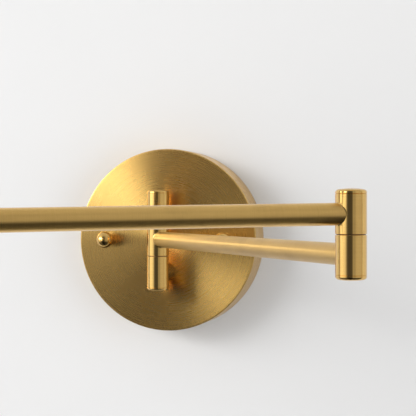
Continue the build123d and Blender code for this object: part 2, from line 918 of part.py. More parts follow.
def shade_radius(height, inset):
    """The shade's radius at a height, a distance inside its linen's outer face."""
    share = (height - shade_bottom) / shade_height
    outer = shade_bottom_diameter + share * (shade_top_diameter - shade_bottom_diameter)
    return outer / 2 - inset


def cone_skin(low, high, outside, inside):
    """A thin conical skin between two heights and two depths in from the linen's face."""
    return turned(
        (shade_radius(low, inside), low),
        (shade_radius(low, outside), low),
        (shade_radius(high, outside), high),
        (shade_radius(high, inside), high),
    )


def make_shade_linen():
    return head_frame * cone_skin(shade_bottom, shade_top, 0, linen_thickness)


def make_shade_lining():
    outside = linen_thickness + glue_line
    inside = outside + lining_thickness
    return head_frame * cone_skin(shade_bottom, shade_top, outside, inside)


def make_shade_hems():
    outside, inside = -hem_thickness - glue_line, -glue_line
    low = cone_skin(shade_bottom, shade_bottom + hem_height, outside, inside)
    high = cone_skin(shade_top - hem_height, shade_top, outside, inside)
    return head_frame * (low + high)


def wire_ring_radius(height):
    """The radius at which a wire ring seats against the lining."""
    slope = math.atan2((shade_bottom_diameter - shade_top_diameter) / 2, shade_height)
    seat = (ring_wire_diameter / 2 + ring_fit) / math.cos(slope)
    return shade_radius(height, linen_thickness + glue_line + lining_thickness) - seat


def wire_ring(height):
    return Pos(0, 0, height) * Torus(wire_ring_radius(height), ring_wire_diameter / 2)


def make_shade_carrier():
    low = shade_bottom + ring_wire_diameter / 2
    hub_height = shoulder_top + carrier_ring_thickness / 2
    inner = holder_diameter + 2 * carrier_ring_clearance
    carrier = ring(carrier_ring_diameter, inner, shoulder_top, carrier_top) + wire_ring(low)
    for index in range(spoke_count):
        start = Vector(carrier_ring_diameter / 2, 0, hub_height)
        end = Vector(wire_ring_radius(low), 0, low)
        spoke = Plane(start, z_dir=end - start).location * rod(spoke_diameter, 0, (end - start).length)
        carrier += Rot(0, 0, first_spoke_angle + index * 360 / spoke_count) * spoke
    return head_frame * carrier


def make_shade_top_ring():
    return head_frame * wire_ring(shade_top - ring_wire_diameter / 2)


def make_shade_nut():
    low, high = carrier_top, carrier_top + shade_nut_height
    nut = ring(shade_nut_diameter, holder_diameter, low, high)
    flute = Pos(shade_nut_diameter / 2, 0, 0) * rod(flute_diameter, low, high)
    for index in range(shade_nut_flutes):
        nut -= Rot(0, 0, index * 360 / shade_nut_flutes) * flute
    return head_frame * nut


pieces = {
    "wall_crossbar": make_crossbar(),
    "canopy_studs": make_studs(),
    "stud_lock_nuts": make_lock_nuts(),
    "ball_nuts": make_ball_nuts(),
    "ground_screw": make_ground_screw(),
    "ground_lead": make_ground_lead(),
    "terminal_block": make_terminal_block(),
    "terminal_screws": make_terminal_screws(),
    "terminal_pad": make_terminal_pad(),
    "canopy": make_canopy(),
    "canopy_lead": make_canopy_lead(),
    "load_washer": make_load_washer(),
    "tooth_washer": make_tooth_washer(),
    "post_nut": make_post_nut(),
    "post_nipple": make_post_nipple(),
    "post_stub": make_post_stub(),
    "post_lower_barrel": make_post_lower_barrel(),
    "post_upper_barrel": make_post_upper_barrel(),
    "post_end_discs": make_end_discs(),
    "post_pivot": make_post_pivot(),
    "post_washers": make_post_washers(),
    "post_stop_pin": make_stop_pin(post_axis, post_lower_top, 90),
    "post_knuckle": make_knuckle(),
    "lower_arm_tube": make_lower_arm_tube(),
    "lower_arm_lead": make_lower_arm_lead(),
    "elbow_lower_barrel": make_elbow_lower_barrel(),
    "elbow_bottom_cap": make_elbow_bottom_cap(),
    "elbow_pivot": make_elbow_pivot(),
    "elbow_washer": make_elbow_washer(),
    "elbow_stop_pin": make_stop_pin(elbow_frame, elbow_lower_top, 180),
    "elbow_spring_washer": make_spring_washer(),
    "elbow_ring_nut": make_ring_nut(),
    "elbow_upper_barrel": make_elbow_upper_barrel(),
    "elbow_top_cap": make_elbow_top_cap(),
    "upper_arm_tube": make_upper_arm_tube(),
    "upper_arm_lead": make_upper_arm_lead(),
    "end_barrel": make_end_barrel(),
    "end_cap": make_end_cap(),
    "socket_nipple": make_socket_nipple(),
    "socket_cup": make_socket_cup(),
    "cup_nut": make_cup_nut(),
    "holder_cap": make_holder_cap(),
    "holder_shell": make_holder_shell(),
    "holder_insulator": make_insulator(),
    "screw_shell": make_screw_shell(),
    "centre_contact": make_centre_contact(),
    "switch_key": make_switch_key(),
    "switch_cam": make_switch_cam(),
    "bulb_base": make_bulb_base(),
    "bulb_body": make_bulb_body(),
    "led_board": make_led_board(),
    "bulb_dome": make_bulb_dome(),
    "shade_carrier": make_shade_carrier(),
    "shade_top_ring": make_shade_top_ring(),
    "shade_nut": make_shade_nut(),
    "shade_lining": make_shade_lining(),
    "shade_linen": make_shade_linen(),
    "shade_hems": make_shade_hems(),
}

os.makedirs("parts", exist_ok=True)
for name, piece in pieces.items():
    export_step(piece, f"parts/{name}.step")
print(len(pieces), "pieces written")
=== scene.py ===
# %% [markdown]
# # A swing arm wall lamp in satin and polished brass
#
# The real lamp is a round canopy on the wall, a three-piece post on a stub, two
# tubes that fold at an elbow, and a shaded lampholder at the far end. Its sizes,
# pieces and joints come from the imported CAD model. This lesson gives that model
# its finishes, its cloth shade and its braze fillets, and puts it in a small studio.

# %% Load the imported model
import math

import bmesh
import bpy
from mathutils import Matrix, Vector


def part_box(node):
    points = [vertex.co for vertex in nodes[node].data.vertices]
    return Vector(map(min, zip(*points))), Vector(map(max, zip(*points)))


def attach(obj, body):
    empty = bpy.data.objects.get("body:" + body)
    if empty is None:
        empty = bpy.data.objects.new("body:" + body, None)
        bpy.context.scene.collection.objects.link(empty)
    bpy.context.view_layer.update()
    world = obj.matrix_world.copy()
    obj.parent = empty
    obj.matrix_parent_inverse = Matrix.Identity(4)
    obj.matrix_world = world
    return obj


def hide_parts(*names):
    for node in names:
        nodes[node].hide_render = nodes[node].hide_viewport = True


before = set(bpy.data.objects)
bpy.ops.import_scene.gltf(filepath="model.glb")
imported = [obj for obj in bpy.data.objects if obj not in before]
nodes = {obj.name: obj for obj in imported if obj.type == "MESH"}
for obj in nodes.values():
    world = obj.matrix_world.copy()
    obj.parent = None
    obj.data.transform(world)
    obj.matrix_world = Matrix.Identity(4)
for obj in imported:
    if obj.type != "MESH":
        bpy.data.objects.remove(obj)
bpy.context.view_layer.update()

# %% [markdown]
# ## The axes that the pieces share
#
# Every turned piece has a centre line. They could be typed in as numbers, but the
# boxes of the CAD nodes already hold them, so they are measured here once and a
# change of size in the model moves the looks along with it.

# %% Measure the centre lines
def middle(name):
    """The middle of a node's box."""
    low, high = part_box(name)
    return (low + high) / 2


post_axis = middle("post_knuckle")
elbow_axis = middle("elbow_lower_barrel")
head_axis = middle("end_barrel")
lower_run = (elbow_axis - middle("post_knuckle")) * Vector((1, 1, 0))
upper_run = head_axis - middle("elbow_upper_barrel")
lower_run.normalize()
upper_run.normalize()
print("post", post_axis, "elbow", elbow_axis, "head", head_axis)

# %% [markdown]
# ## Camera
#
# The photograph looks along the wall's normal with a small turn to the left, from
# under a metre away. The focal length is given for a 36 mm sensor.

# %% Camera
VIEW_TURN = 13.373
VIEW_TILT = -0.153
FOCAL_PIXELS = 1200.6
PICTURE_SIDE = 416

lens = bpy.data.cameras.new("lamp camera")
lens.sensor_width = 36
lens.lens = FOCAL_PIXELS / PICTURE_SIDE * lens.sensor_width
lens.clip_start = 0.01
camera = bpy.data.objects.new("lamp camera", lens)
camera.location = (0.2099, -0.7917, 0.0231)
camera.rotation_euler = (math.radians(90 + VIEW_TILT), 0, math.radians(VIEW_TURN))
bpy.context.scene.collection.objects.link(camera)
bpy.context.scene.camera = camera
print("lens", round(lens.lens, 1), "mm")

# %% [markdown]
# ## Small helpers for node trees
#
# A material is a tree of nodes. Three short helpers keep each recipe readable: one
# adds a node, one joins two sockets, and one starts a material with its shader.

# %% Node helpers
def add(tree, kind, **settings):
    """Adds a shader node and sets what it is given."""
    made = tree.nodes.new("ShaderNode" + kind)
    for key, value in settings.items():
        setattr(made, key, value)
    return made


def join(tree, out, into):
    tree.links.new(out, into)


def start_material(name, metallic=0.0, **numbers):
    """A new material with a Principled shader, whose plain numbers sit on its sockets."""
    made = bpy.data.materials.new(name)
    made.use_nodes = True
    tree = made.node_tree
    shader = tree.nodes["Principled BSDF"]
    shader.inputs["Metallic"].default_value = metallic
    for socket, value in numbers.items():
        shader.inputs[socket.replace("_", " ")].default_value = value
    return made, tree, shader


def start_group(name, inputs, outputs):
    """A new shader node group with named sockets."""
    group = bpy.data.node_groups.new(name, "ShaderNodeTree")
    for socket, kind, value in inputs:
        made = group.interface.new_socket(socket, in_out="INPUT", socket_type="NodeSocket" + kind)
        if value is not None:
            made.default_value = value
    for socket, kind in outputs:
        group.interface.new_socket(socket, in_out="OUTPUT", socket_type="NodeSocket" + kind)
    entry = group.nodes.new("NodeGroupInput")
    leave = group.nodes.new("NodeGroupOutput")
    return group, entry, leave


def use_group(tree, group, **values):
    """Places a group in a material with its own values."""
    made = tree.nodes.new("ShaderNodeGroup")
    made.node_tree = group
    for socket, value in values.items():
        made.inputs[socket.replace("_", " ")].default_value = value
    return made


def spread(tree, value, low, high, from_low=0.0, from_high=1.0):
    """Maps a varying value onto the range from low to high."""
    made = add(tree, "MapRange")
    made.inputs["From Min"].default_value = from_low
    made.inputs["From Max"].default_value = from_high
    made.inputs["To Min"].default_value = low
    made.inputs["To Max"].default_value = high
    join(tree, value, made.inputs["Value"])
    return made.outputs["Result"]


# %% [markdown]
# ## Brush and lathe lines
#
# Brass is turned on a lathe and then brushed, which leaves thousands of fine lines
# that all run one way. They are a noise that is squeezed across the lines and
# drawn out along them. One group does this for every metal: each finish gives it
# the direction that crosses the lines.

# %% Group: fine lines
def make_fine_lines():
    group, entry, leave = start_group(
        "fine lines",
        [("Place", "Vector", None), ("Across", "Vector", (0, 0, 1)),
         ("Fineness", "Float", 3000.0), ("Length", "Float", 0.006)],
        [("Lines", "Float")],
    )
    across = add(group, "VectorMath", operation="DOT_PRODUCT")
    join(group, entry.outputs["Place"], across.inputs[0])
    join(group, entry.outputs["Across"], across.inputs[1])
    squeezed = add(group, "VectorMath", operation="SCALE")
    join(group, entry.outputs["Across"], squeezed.inputs[0])
    join(group, across.outputs["Value"], squeezed.inputs["Scale"])
    along = add(group, "VectorMath", operation="SUBTRACT")
    join(group, entry.outputs["Place"], along.inputs[0])
    join(group, squeezed.outputs[0], along.inputs[1])
    drawn = add(group, "VectorMath", operation="SCALE")
    join(group, along.outputs[0], drawn.inputs[0])
    join(group, entry.outputs["Length"], drawn.inputs["Scale"])
    place = add(group, "VectorMath", operation="ADD")
    join(group, squeezed.outputs[0], place.inputs[0])
    join(group, drawn.outputs[0], place.inputs[1])
    fine = add(group, "TexNoise")
    fine.inputs["Detail"].default_value = 3
    fine.inputs["Roughness"].default_value = 0.65
    join(group, place.outputs[0], fine.inputs["Vector"])
    join(group, entry.outputs["Fineness"], fine.inputs["Scale"])
    join(group, fine.outputs["Fac"], leave.inputs["Lines"])
    return group


fine_lines = make_fine_lines()
print("group", fine_lines.name, [s.name for s in fine_lines.interface.items_tree])

# %% [markdown]
# ## Smudges and tarnish
#
# Hands leave soft patches where the polish is a little duller and the brass a
# little browner. A low noise with a soft threshold gives a mask that both the
# colour and the roughness of a finish can follow.

# %% Group: smudges
def make_smudges():
    group, entry, leave = start_group(
        "smudges",
        [("Place", "Vector", None), ("Size", "Float", 30.0),
         ("Start", "Float", 0.45), ("End", "Float", 0.75)],
        [("Mask", "Float")],
    )
    cloud = add(group, "TexNoise")
    cloud.inputs["Detail"].default_value = 4
    cloud.inputs["Roughness"].default_value = 0.6
    cloud.inputs["Distortion"].default_value = 0.4
    join(group, entry.outputs["Place"], cloud.inputs["Vector"])
    join(group, entry.outputs["Size"], cloud.inputs["Scale"])
    edge = add(group, "MapRange", interpolation_type="SMOOTHSTEP")
    join(group, cloud.outputs["Fac"], edge.inputs["Value"])
    join(group, entry.outputs["Start"], edge.inputs["From Min"])
    join(group, entry.outputs["End"], edge.inputs["From Max"])
    join(group, edge.outputs["Result"], leave.inputs["Mask"])
    return group


smudges = make_smudges()

# %% [markdown]
# ## Moulded and painted grain
#
# Plastic, enamel and sheath have a faint orange peel and a few specks. This group
# gives both, and each material sets how fine they are.

# %% Group: moulded grain
def make_grain():
    group, entry, leave = start_group(
        "moulded grain",
        [("Place", "Vector", None), ("Fineness", "Float", 900.0)],
        [("Height", "Float"), ("Specks", "Float")],
    )
    peel = add(group, "TexNoise")
    peel.inputs["Detail"].default_value = 2
    join(group, entry.outputs["Place"], peel.inputs["Vector"])
    join(group, entry.outputs["Fineness"], peel.inputs["Scale"])
    cells = add(group, "TexVoronoi")
    join(group, entry.outputs["Place"], cells.inputs["Vector"])
    join(group, entry.outputs["Fineness"], cells.inputs["Scale"])
    specks = spread(group, cells.outputs["Distance"], 1, 0, 0.02, 0.16)
    join(group, peel.outputs["Fac"], leave.inputs["Height"])
    join(group, specks, leave.inputs["Specks"])
    return group


moulded_grain = make_grain()

# %% [markdown]
# ## Brass
#
# Brass is a metal, so its colour is the colour of its reflection. Two close tones
# are mixed along the brush lines and smudges. The lines also stretch the
# highlight: the shader's anisotropy does that, with a tangent that turns round
# the piece's own centre line.

# %% Brass recipe
BRASS_DEEP = (0.66, 0.405, 0.105, 1)
BRASS_BRIGHT = (0.80, 0.515, 0.165, 1)
BRASS_BROWN = (0.48, 0.28, 0.08, 1)
SMUDGE_SIZE = 38.0
SMUDGE_DULLS = 0.8
BRUSH_DEPTH = 0.00002
QUARTER_TURN = 0.25


def ringed_place(tree, place):
    """Adds the radius about Y to the depth, so that lines across Y turn into rings on a face."""
    parts = add(tree, "SeparateXYZ")
    join(tree, place, parts.inputs[0])
    flat = add(tree, "CombineXYZ")
    join(tree, parts.outputs["X"], flat.inputs["X"])
    join(tree, parts.outputs["Z"], flat.inputs["Z"])
    radius = add(tree, "VectorMath", operation="LENGTH")
    join(tree, flat.outputs[0], radius.inputs[0])
    depth = add(tree, "Math", operation="ADD")
    join(tree, radius.outputs["Value"], depth.inputs[0])
    join(tree, parts.outputs["Y"], depth.inputs[1])
    ringed = add(tree, "CombineXYZ")
    join(tree, parts.outputs["X"], ringed.inputs["X"])
    join(tree, depth.outputs[0], ringed.inputs["Y"])
    join(tree, parts.outputs["Z"], ringed.inputs["Z"])
    return ringed.outputs[0]


def brass(
    name, across, roughness, stretch, fineness, bump, turning=None, along=None, face_rings=False
):
    """A brass finish. across crosses the brush lines; turning is the axis of a turned piece."""
    made, tree, shader = start_material(
        name, metallic=1.0, Anisotropic=stretch, Coat_Weight=0.4, Coat_Roughness=0.25, Coat_IOR=1.5
    )
    place = add(tree, "TexCoord").outputs["Object"]
    lines_place = ringed_place(tree, place) if face_rings else place
    lines = use_group(tree, fine_lines, Across=across, Fineness=fineness)
    join(tree, lines_place, lines.inputs["Place"])
    hands = use_group(tree, smudges, Size=SMUDGE_SIZE)
    join(tree, place, hands.inputs["Place"])
    tone = add(tree, "Mix", data_type="RGBA")
    tone.inputs["A"].default_value = BRASS_DEEP
    tone.inputs["B"].default_value = BRASS_BRIGHT
    join(tree, spread(tree, lines.outputs["Lines"], 0.2, 0.8, 0.3, 0.7), tone.inputs["Factor"])
    aged = add(tree, "Mix", data_type="RGBA")
    aged.inputs["B"].default_value = BRASS_BROWN
    join(tree, tone.outputs["Result"], aged.inputs["A"])
    join(tree, spread(tree, hands.outputs["Mask"], 0.0, 0.25), aged.inputs["Factor"])
    join(tree, aged.outputs["Result"], shader.inputs["Base Color"])
    low, high = roughness
    dulled = add(tree, "Math", operation="ADD")
    join(tree, spread(tree, lines.outputs["Lines"], low, high, 0.25, 0.75), dulled.inputs[0])
    smudged = spread(tree, hands.outputs["Mask"], 0.0, (high - low) * SMUDGE_DULLS)
    join(tree, smudged, dulled.inputs[1])
    join(tree, dulled.outputs[0], shader.inputs["Roughness"])
    relief = add(tree, "Bump")
    relief.inputs["Distance"].default_value = BRUSH_DEPTH
    relief.inputs["Strength"].default_value = bump
    join(tree, lines.outputs["Lines"], relief.inputs["Height"])
    join(tree, relief.outputs["Normal"], shader.inputs["Normal"])
    if turning:
        shader.inputs["Anisotropic Rotation"].default_value = QUARTER_TURN
        round_it = add(tree, "Tangent", direction_type="RADIAL", axis=turning)
        join(tree, round_it.outputs["Tangent"], shader.inputs["Tangent"])
    if along:
        line = add(
            tree, "VectorTransform", vector_type="VECTOR", convert_from="OBJECT", convert_to="WORLD"
        )
        line.inputs[0].default_value = along
        join(tree, line.outputs[0], shader.inputs["Tangent"])
    return made


UP = (0, 0, 1)
OUT = (0, 1, 0)
TUBE_FINISH = (0.27, 0.33), 1.0, 7000, 0.05
plate_brass = brass(
    "satin brass of the canopy", OUT, (0.25, 0.29), 0.95, 6000, 0.02, turning="Y", face_rings=True
)
barrel_brass = brass(
    "polished brass of the barrels", UP, (0.06, 0.09), 0.7, 7000, 0.03, turning="Z"
)
ball_brass = brass("polished brass of the ball nuts", OUT, (0.13, 0.18), 0.0, 5200, 0.04)
stub_brass = brass("polished brass of the stub", OUT, (0.08, 0.14), 0.4, 5200, 0.06, turning="Y")
cup_brass = brass("satin brass of the lampholder", UP, (0.18, 0.28), 0.6, 4200, 0.15, turning="Z")
lower_brass = brass(
    "satin brass of the lower arm", tuple(lower_run), *TUBE_FINISH, along=tuple(lower_run)
)
upper_brass = brass(
    "satin brass of the upper arm", tuple(upper_run), *TUBE_FINISH, along=tuple(upper_run)
)
raw_brass = brass("raw turned brass", UP, (0.22, 0.36), 0.3, 2200, 0.5)
print("brass finishes:", [m.name for m in bpy.data.materials if "brass of" in m.name])

# %% [markdown]
# ## Steel, plastic, enamel and sheath
#
# The pieces inside the canopy and the lampholder are plain, but each has its own
# surface: bright zinc with a mottled crystal, dull nylon, glossy enamel, dark
# moulded resin. One recipe with two tones, a grain and its smudges covers them.

# %% Other recipes
GRAIN_DEPTH = 0.00004


def surface(name, tone_a, tone_b, roughness, fineness, bump, metallic=0.0, size=60.0, **numbers):
    """A plain surface with two mottled tones, a grain in its relief and a varying gloss."""
    made, tree, shader = start_material(name, metallic=metallic, **numbers)
    place = add(tree, "TexCoord").outputs["Object"]
    grain = use_group(tree, moulded_grain, Fineness=fineness)
    join(tree, place, grain.inputs["Place"])
    hands = use_group(tree, smudges, Size=size, Start=0.35, End=0.7)
    join(tree, place, hands.inputs["Place"])
    tone = add(tree, "Mix", data_type="RGBA")
    tone.inputs["A"].default_value = (*tone_a, 1)
    tone.inputs["B"].default_value = (*tone_b, 1)
    join(tree, hands.outputs["Mask"], tone.inputs["Factor"])
    join(tree, tone.outputs["Result"], shader.inputs["Base Color"])
    gloss = add(tree, "Math", operation="ADD")
    join(tree, spread(tree, grain.outputs["Height"], *roughness), gloss.inputs[0])
    join(tree, spread(tree, hands.outputs["Mask"], 0.0, 0.06), gloss.inputs[1])
    join(tree, gloss.outputs[0], shader.inputs["Roughness"])
    relief = add(tree, "Bump")
    relief.inputs["Distance"].default_value = GRAIN_DEPTH
    relief.inputs["Strength"].default_value = bump
    join(tree, grain.outputs["Height"], relief.inputs["Height"])
    join(tree, relief.outputs["Normal"], shader.inputs["Normal"])
    return made


zinc = surface(
    "zinc plated steel",
    (0.50, 0.51, 0.53), (0.66, 0.66, 0.65), (0.24, 0.40), 700, 0.3, metallic=1.0, size=140,
)
nylon = surface(
    "white nylon of the terminal block",
    (0.80, 0.80, 0.77), (0.86, 0.85, 0.81), (0.38, 0.52), 900, 0.2,
)
foam = surface("grey foam pad", (0.045, 0.045, 0.048), (0.08, 0.08, 0.085), (0.85, 0.98), 1500, 1.0)
sheath = surface(
    "pale sheath of the lead",
    (0.72, 0.71, 0.68), (0.80, 0.79, 0.76), (0.34, 0.46), 1200, 0.15,
)
ground_sheath = surface(
    "green sheath of the ground lead",
    (0.05, 0.24, 0.035), (0.08, 0.32, 0.05), (0.32, 0.45), 1200, 0.15,
)
phenolic = surface(
    "dark moulded resin",
    (0.012, 0.010, 0.010), (0.024, 0.019, 0.018), (0.28, 0.42), 700, 0.25,
)
lining = surface(
    "smooth shade lining",
    (0.86, 0.85, 0.81), (0.90, 0.89, 0.86), (0.42, 0.55), 500, 0.12, size=12,
)
enamel = surface(
    "white enamel of the shade wires",
    (0.82, 0.81, 0.78), (0.87, 0.86, 0.83), (0.20, 0.34), 1300, 0.3,
)
bulb_plastic = surface(
    "white plastic of the bulb",
    (0.83, 0.83, 0.82), (0.88, 0.88, 0.87), (0.30, 0.42), 800, 0.12,
)
bulb_opal = surface(
    "opal dome of the bulb",
    (0.90, 0.90, 0.88), (0.94, 0.94, 0.92), (0.28, 0.38), 600, 0.05, size=20,
    Subsurface_Weight=0.3, Subsurface_Scale=0.003,
)
bulb_cap = surface(
    "plated cap of the bulb",
    (0.60, 0.60, 0.61), (0.72, 0.72, 0.72), (0.22, 0.36), 900, 0.3, metallic=1.0,
)
# The washers' dark brown tint is painted shade: it makes the seams between the barrels show as dark
# shaded lines.
washer_seam_shade = surface(
    "washers darkened as painted seam shade",
    (0.085, 0.055, 0.024), (0.13, 0.088, 0.04), (0.35, 0.5), 1500, 0.2,
)
print(len(bpy.data.materials), "materials so far")

# %% [markdown]
# ## Giving the CAD nodes their finishes
#
# A CAD node whose shape is right stays as it is and only gets a better material.
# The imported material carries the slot's name, so most nodes are found by that
# name. The turned pieces that lie another way are named one by one.

# %% Dress the CAD nodes
finish_of_slot = {
    "polished_brass": barrel_brass,
    "satin_brass_plate": cup_brass,
    "raw_brass": raw_brass,
    "zinc_steel": zinc,
    "white_nylon": nylon,
    "foam_pad": foam,
    "lead_sheath": sheath,
    "ground_sheath": ground_sheath,
    "phenolic": phenolic,
    "shade_lining": lining,
    "white_wire": enamel,
    "bulb_plastic": bulb_plastic,
    "bulb_opal": bulb_opal,
    "bulb_cap": bulb_cap,
    "nylon_washer": washer_seam_shade,
}
finish_of_node = {
    "canopy": plate_brass,
    "ball_nuts": ball_brass,
    "post_stub": stub_brass,
    "lower_arm_tube": lower_brass,
    "upper_arm_tube": upper_brass,
}
for name, node in nodes.items():
    for place in node.material_slots:
        slot_name = place.material.name.split(".")[0]
        finish = finish_of_node.get(name, finish_of_slot.get(slot_name))
        if finish:
            place.material = finish
print("dressed", len(nodes), "nodes")

# %% [markdown]
# ## Linen
#
# A linen shade is a plain weave of uneven flax threads, with thick slubs that run
# for a few centimetres. The cloth is drawn in the flat: the first coordinate goes
# round the shade and the second goes up it, both in metres, so the weave keeps
# its size however the shade tapers.

# %% Group: woven linen
def make_weave():
    group, entry, leave = start_group(
        "woven linen",
        [("Flat", "Vector", None), ("Threads", "Float", 1100.0)],
        [("Height", "Float"), ("Tone", "Float"), ("Slubs", "Float")],
    )
    parts = add(group, "SeparateXYZ")
    join(group, entry.outputs["Flat"], parts.inputs[0])
    threads = {}
    for key, across, drawn in (("warp", "X", "Y"), ("weft", "Y", "X")):
        stretched = add(group, "CombineXYZ")
        long_way = add(group, "Math", operation="MULTIPLY")
        long_way.inputs[1].default_value = 0.035
        join(group, parts.outputs[drawn], long_way.inputs[0])
        join(group, parts.outputs[across], stretched.inputs[0])
        join(group, long_way.outputs[0], stretched.inputs[1])
        if key == "weft":
            stretched.inputs[2].default_value = 3.7
        thread = add(group, "TexNoise")
        thread.inputs["Detail"].default_value = 2
        join(group, stretched.outputs[0], thread.inputs["Vector"])
        join(group, entry.outputs["Threads"], thread.inputs["Scale"])
        threads[key] = thread.outputs["Fac"]
    both = add(group, "Math", operation="MAXIMUM")
    join(group, threads["warp"], both.inputs[0])
    join(group, threads["weft"], both.inputs[1])
    tone = add(group, "Math", operation="ADD")
    join(group, threads["warp"], tone.inputs[0])
    join(group, threads["weft"], tone.inputs[1])
    join(group, both.outputs[0], leave.inputs["Height"])
    join(group, spread(group, tone.outputs[0], 0, 1, 0.7, 1.3), leave.inputs["Tone"])
    join(group, spread(group, both.outputs[0], 0, 1, 0.62, 0.8), leave.inputs["Slubs"])
    return group


woven_linen = make_weave()

# %% [markdown]
# ## The linen as a finish
#
# Two flax tones follow the threads, and the thickest slubs are the palest. A
# little sheen at the edge is what makes cloth look soft. The flat coordinates
# come from the piece's own UV map, which is built with the piece.

# %% Linen material
def cloth(name, dark, pale, threads, bump):
    made, tree, shader = start_material(name, Sheen_Weight=0.25, Sheen_Roughness=0.5)
    flat = add(tree, "UVMap", uv_map="flat").outputs["UV"]
    weave = use_group(tree, woven_linen, Threads=threads)
    join(tree, flat, weave.inputs["Flat"])
    tone = add(tree, "Mix", data_type="RGBA")
    tone.inputs["A"].default_value = (*dark, 1)
    tone.inputs["B"].default_value = (*pale, 1)
    join(tree, weave.outputs["Tone"], tone.inputs["Factor"])
    join(tree, tone.outputs["Result"], shader.inputs["Base Color"])
    join(tree, spread(tree, weave.outputs["Slubs"], 0.92, 0.8), shader.inputs["Roughness"])
    relief = add(tree, "Bump")
    relief.inputs["Distance"].default_value = 0.0004
    relief.inputs["Strength"].default_value = bump
    join(tree, weave.outputs["Height"], relief.inputs["Height"])
    join(tree, relief.outputs["Normal"], shader.inputs["Normal"])
    return made


linen = cloth("natural linen", (0.42, 0.36, 0.27), (0.64, 0.58, 0.48), 1100, 0.7)
hem_linen = cloth("linen tape of the hems", (0.38, 0.32, 0.24), (0.58, 0.52, 0.43), 1300, 0.8)
print("cloth:", linen.name, "and", hem_linen.name)

# %% [markdown]
# ## The shade's cloth
#
# The real cover is one flat curved piece of linen, glued to the lining and closed
# with a lapped seam down the back. A folded tape finishes each edge. A cone would
# do for the cover, but hand-laid cloth is never quite true, so the rings of the
# mesh wander by a few hundredths of a millimetre, and the lap stands proud.

# %% Shade cloth
linen_low, linen_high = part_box("shade_linen")
SHADE_BOTTOM_R = (linen_high.x - linen_low.x) / 2
SHADE_TOP_R = 0.062
SHADE_Z0, SHADE_Z1 = linen_low.z, linen_high.z
LAP_AT = math.radians(35)
LAP_HALF = 0.005
WANDER = 0.00006


def shade_radius(z):
    share = (z - SHADE_Z0) / (SHADE_Z1 - SHADE_Z0)
    return SHADE_BOTTOM_R + share * (SHADE_TOP_R - SHADE_BOTTOM_R)


def cloth_ring(
    name, z0, z1, outer, thickness, rows, columns, material,
    start=0.0, sweep=2 * math.pi, roll=0.0,
):
    """A conical band of cloth with a flat map in metres. roll rounds its edges."""
    mesh = bmesh.new()
    flat = mesh.loops.layers.uv.new("flat")
    closed = sweep > 6.28
    count = columns if closed else columns + 1
    grid = {}
    for side in (0, 1):
        for row in range(rows + 1):
            share = row / rows
            z = z0 + (z1 - z0) * share
            edge = min(share, 1 - share) * (z1 - z0)
            for column in range(count):
                angle = start + sweep * column / columns
                wander = WANDER * math.sin(5 * angle + 40 * z) * math.sin(11 * angle + 1.3)
                soft = roll * max(0.0, 1 - edge / (2 * roll)) ** 2 if roll else 0.0
                radius = shade_radius(z) + outer + wander - (soft if side == 0 else 0)
                if side == 1:
                    radius = shade_radius(z) + outer - thickness
                x = head_axis.x + radius * math.cos(angle)
                y = head_axis.y + radius * math.sin(angle)
                grid[side, row, column] = mesh.verts.new((x, y, z))

    def wrap(corners):
        """One face of the band; a closed band's last column is its first."""
        places = [(s, r, c % count if closed else c) for s, r, c in corners]
        made = mesh.faces.new([grid[place] for place in places])
        made.smooth = True
        for loop, (side, row, column) in zip(made.loops, corners):
            round_it = SHADE_BOTTOM_R * (start + sweep * column / columns)
            loop[flat].uv = (round_it, z0 + (z1 - z0) * row / rows)

    for row in range(rows):
        for column in range(columns):
            after, over = column + 1, row + 1
            wrap([(0, row, column), (0, row, after), (0, over, after), (0, over, column)])
            wrap([(1, row, after), (1, row, column), (1, over, column), (1, over, after)])
    for column in range(columns):
        after = column + 1
        wrap([(1, 0, column), (1, 0, after), (0, 0, after), (0, 0, column)])
        wrap([(0, rows, column), (0, rows, after), (1, rows, after), (1, rows, column)])
    if not closed:
        for row in range(rows):
            wrap([(0, row, 0), (0, row + 1, 0), (1, row + 1, 0), (1, row, 0)])
            last, over = columns, row + 1
            wrap([(1, row, last), (1, over, last), (0, over, last), (0, row, last)])
    data = bpy.data.meshes.new(name)
    mesh.to_mesh(data)
    mesh.free()
    data.materials.append(material)
    piece = bpy.data.objects.new(name, data)
    bpy.context.scene.collection.objects.link(piece)
    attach(piece, "upper_arm")
    return piece


cover = cloth_ring("linen_cover", SHADE_Z0, SHADE_Z1, 0.0, 0.0008, 26, 192, linen)
lap = cloth_ring(
    "linen_lap", SHADE_Z0 + 0.0005, SHADE_Z1 - 0.0005, 0.0004, 0.0004, 26, 4, linen,
    start=LAP_AT - LAP_HALF / SHADE_BOTTOM_R, sweep=2 * LAP_HALF / SHADE_BOTTOM_R,
)
HEM = 0.010
TAPE = 0.0009, 0.00085, 8, 192, hem_linen
hem_bottom = cloth_ring("bottom_hem_tape", SHADE_Z0, SHADE_Z0 + HEM, *TAPE, roll=0.0003)
hem_top = cloth_ring("top_hem_tape", SHADE_Z1 - HEM, SHADE_Z1, *TAPE, roll=0.0003)
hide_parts("shade_linen")
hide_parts("shade_hems")

# %% [markdown]
# ## Braze fillets
#
# Each tube is coped round its barrel and brazed, and the filler metal leaves a
# small hollow fillet in the corner. It follows the saddle curve where two cylinders
# meet: for each angle round the tube, the point is slid along the tube until it
# lies on the barrel. At about half a millimetre it is a matter of looks, so it is
# made here and not in the solids.

# %% Braze fillets
FILLET = 0.0006
FILLET_STEPS = 96
FILLET_ARC = 5
FILLET_SUNK = 0.00003
FILLET_ROOT = 0.00025

tube_low, tube_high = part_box("lower_arm_tube")
barrel_low, barrel_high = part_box("elbow_upper_barrel")
TUBE_R = (tube_high.z - tube_low.z) / 2
BARREL_R = (barrel_high.x - barrel_low.x) / 2
FLAT = Vector((1, 1, 0))
braze = brass("polished brass of the braze fillets", UP, (0.10, 0.20), 0.0, 3000, 0.3)


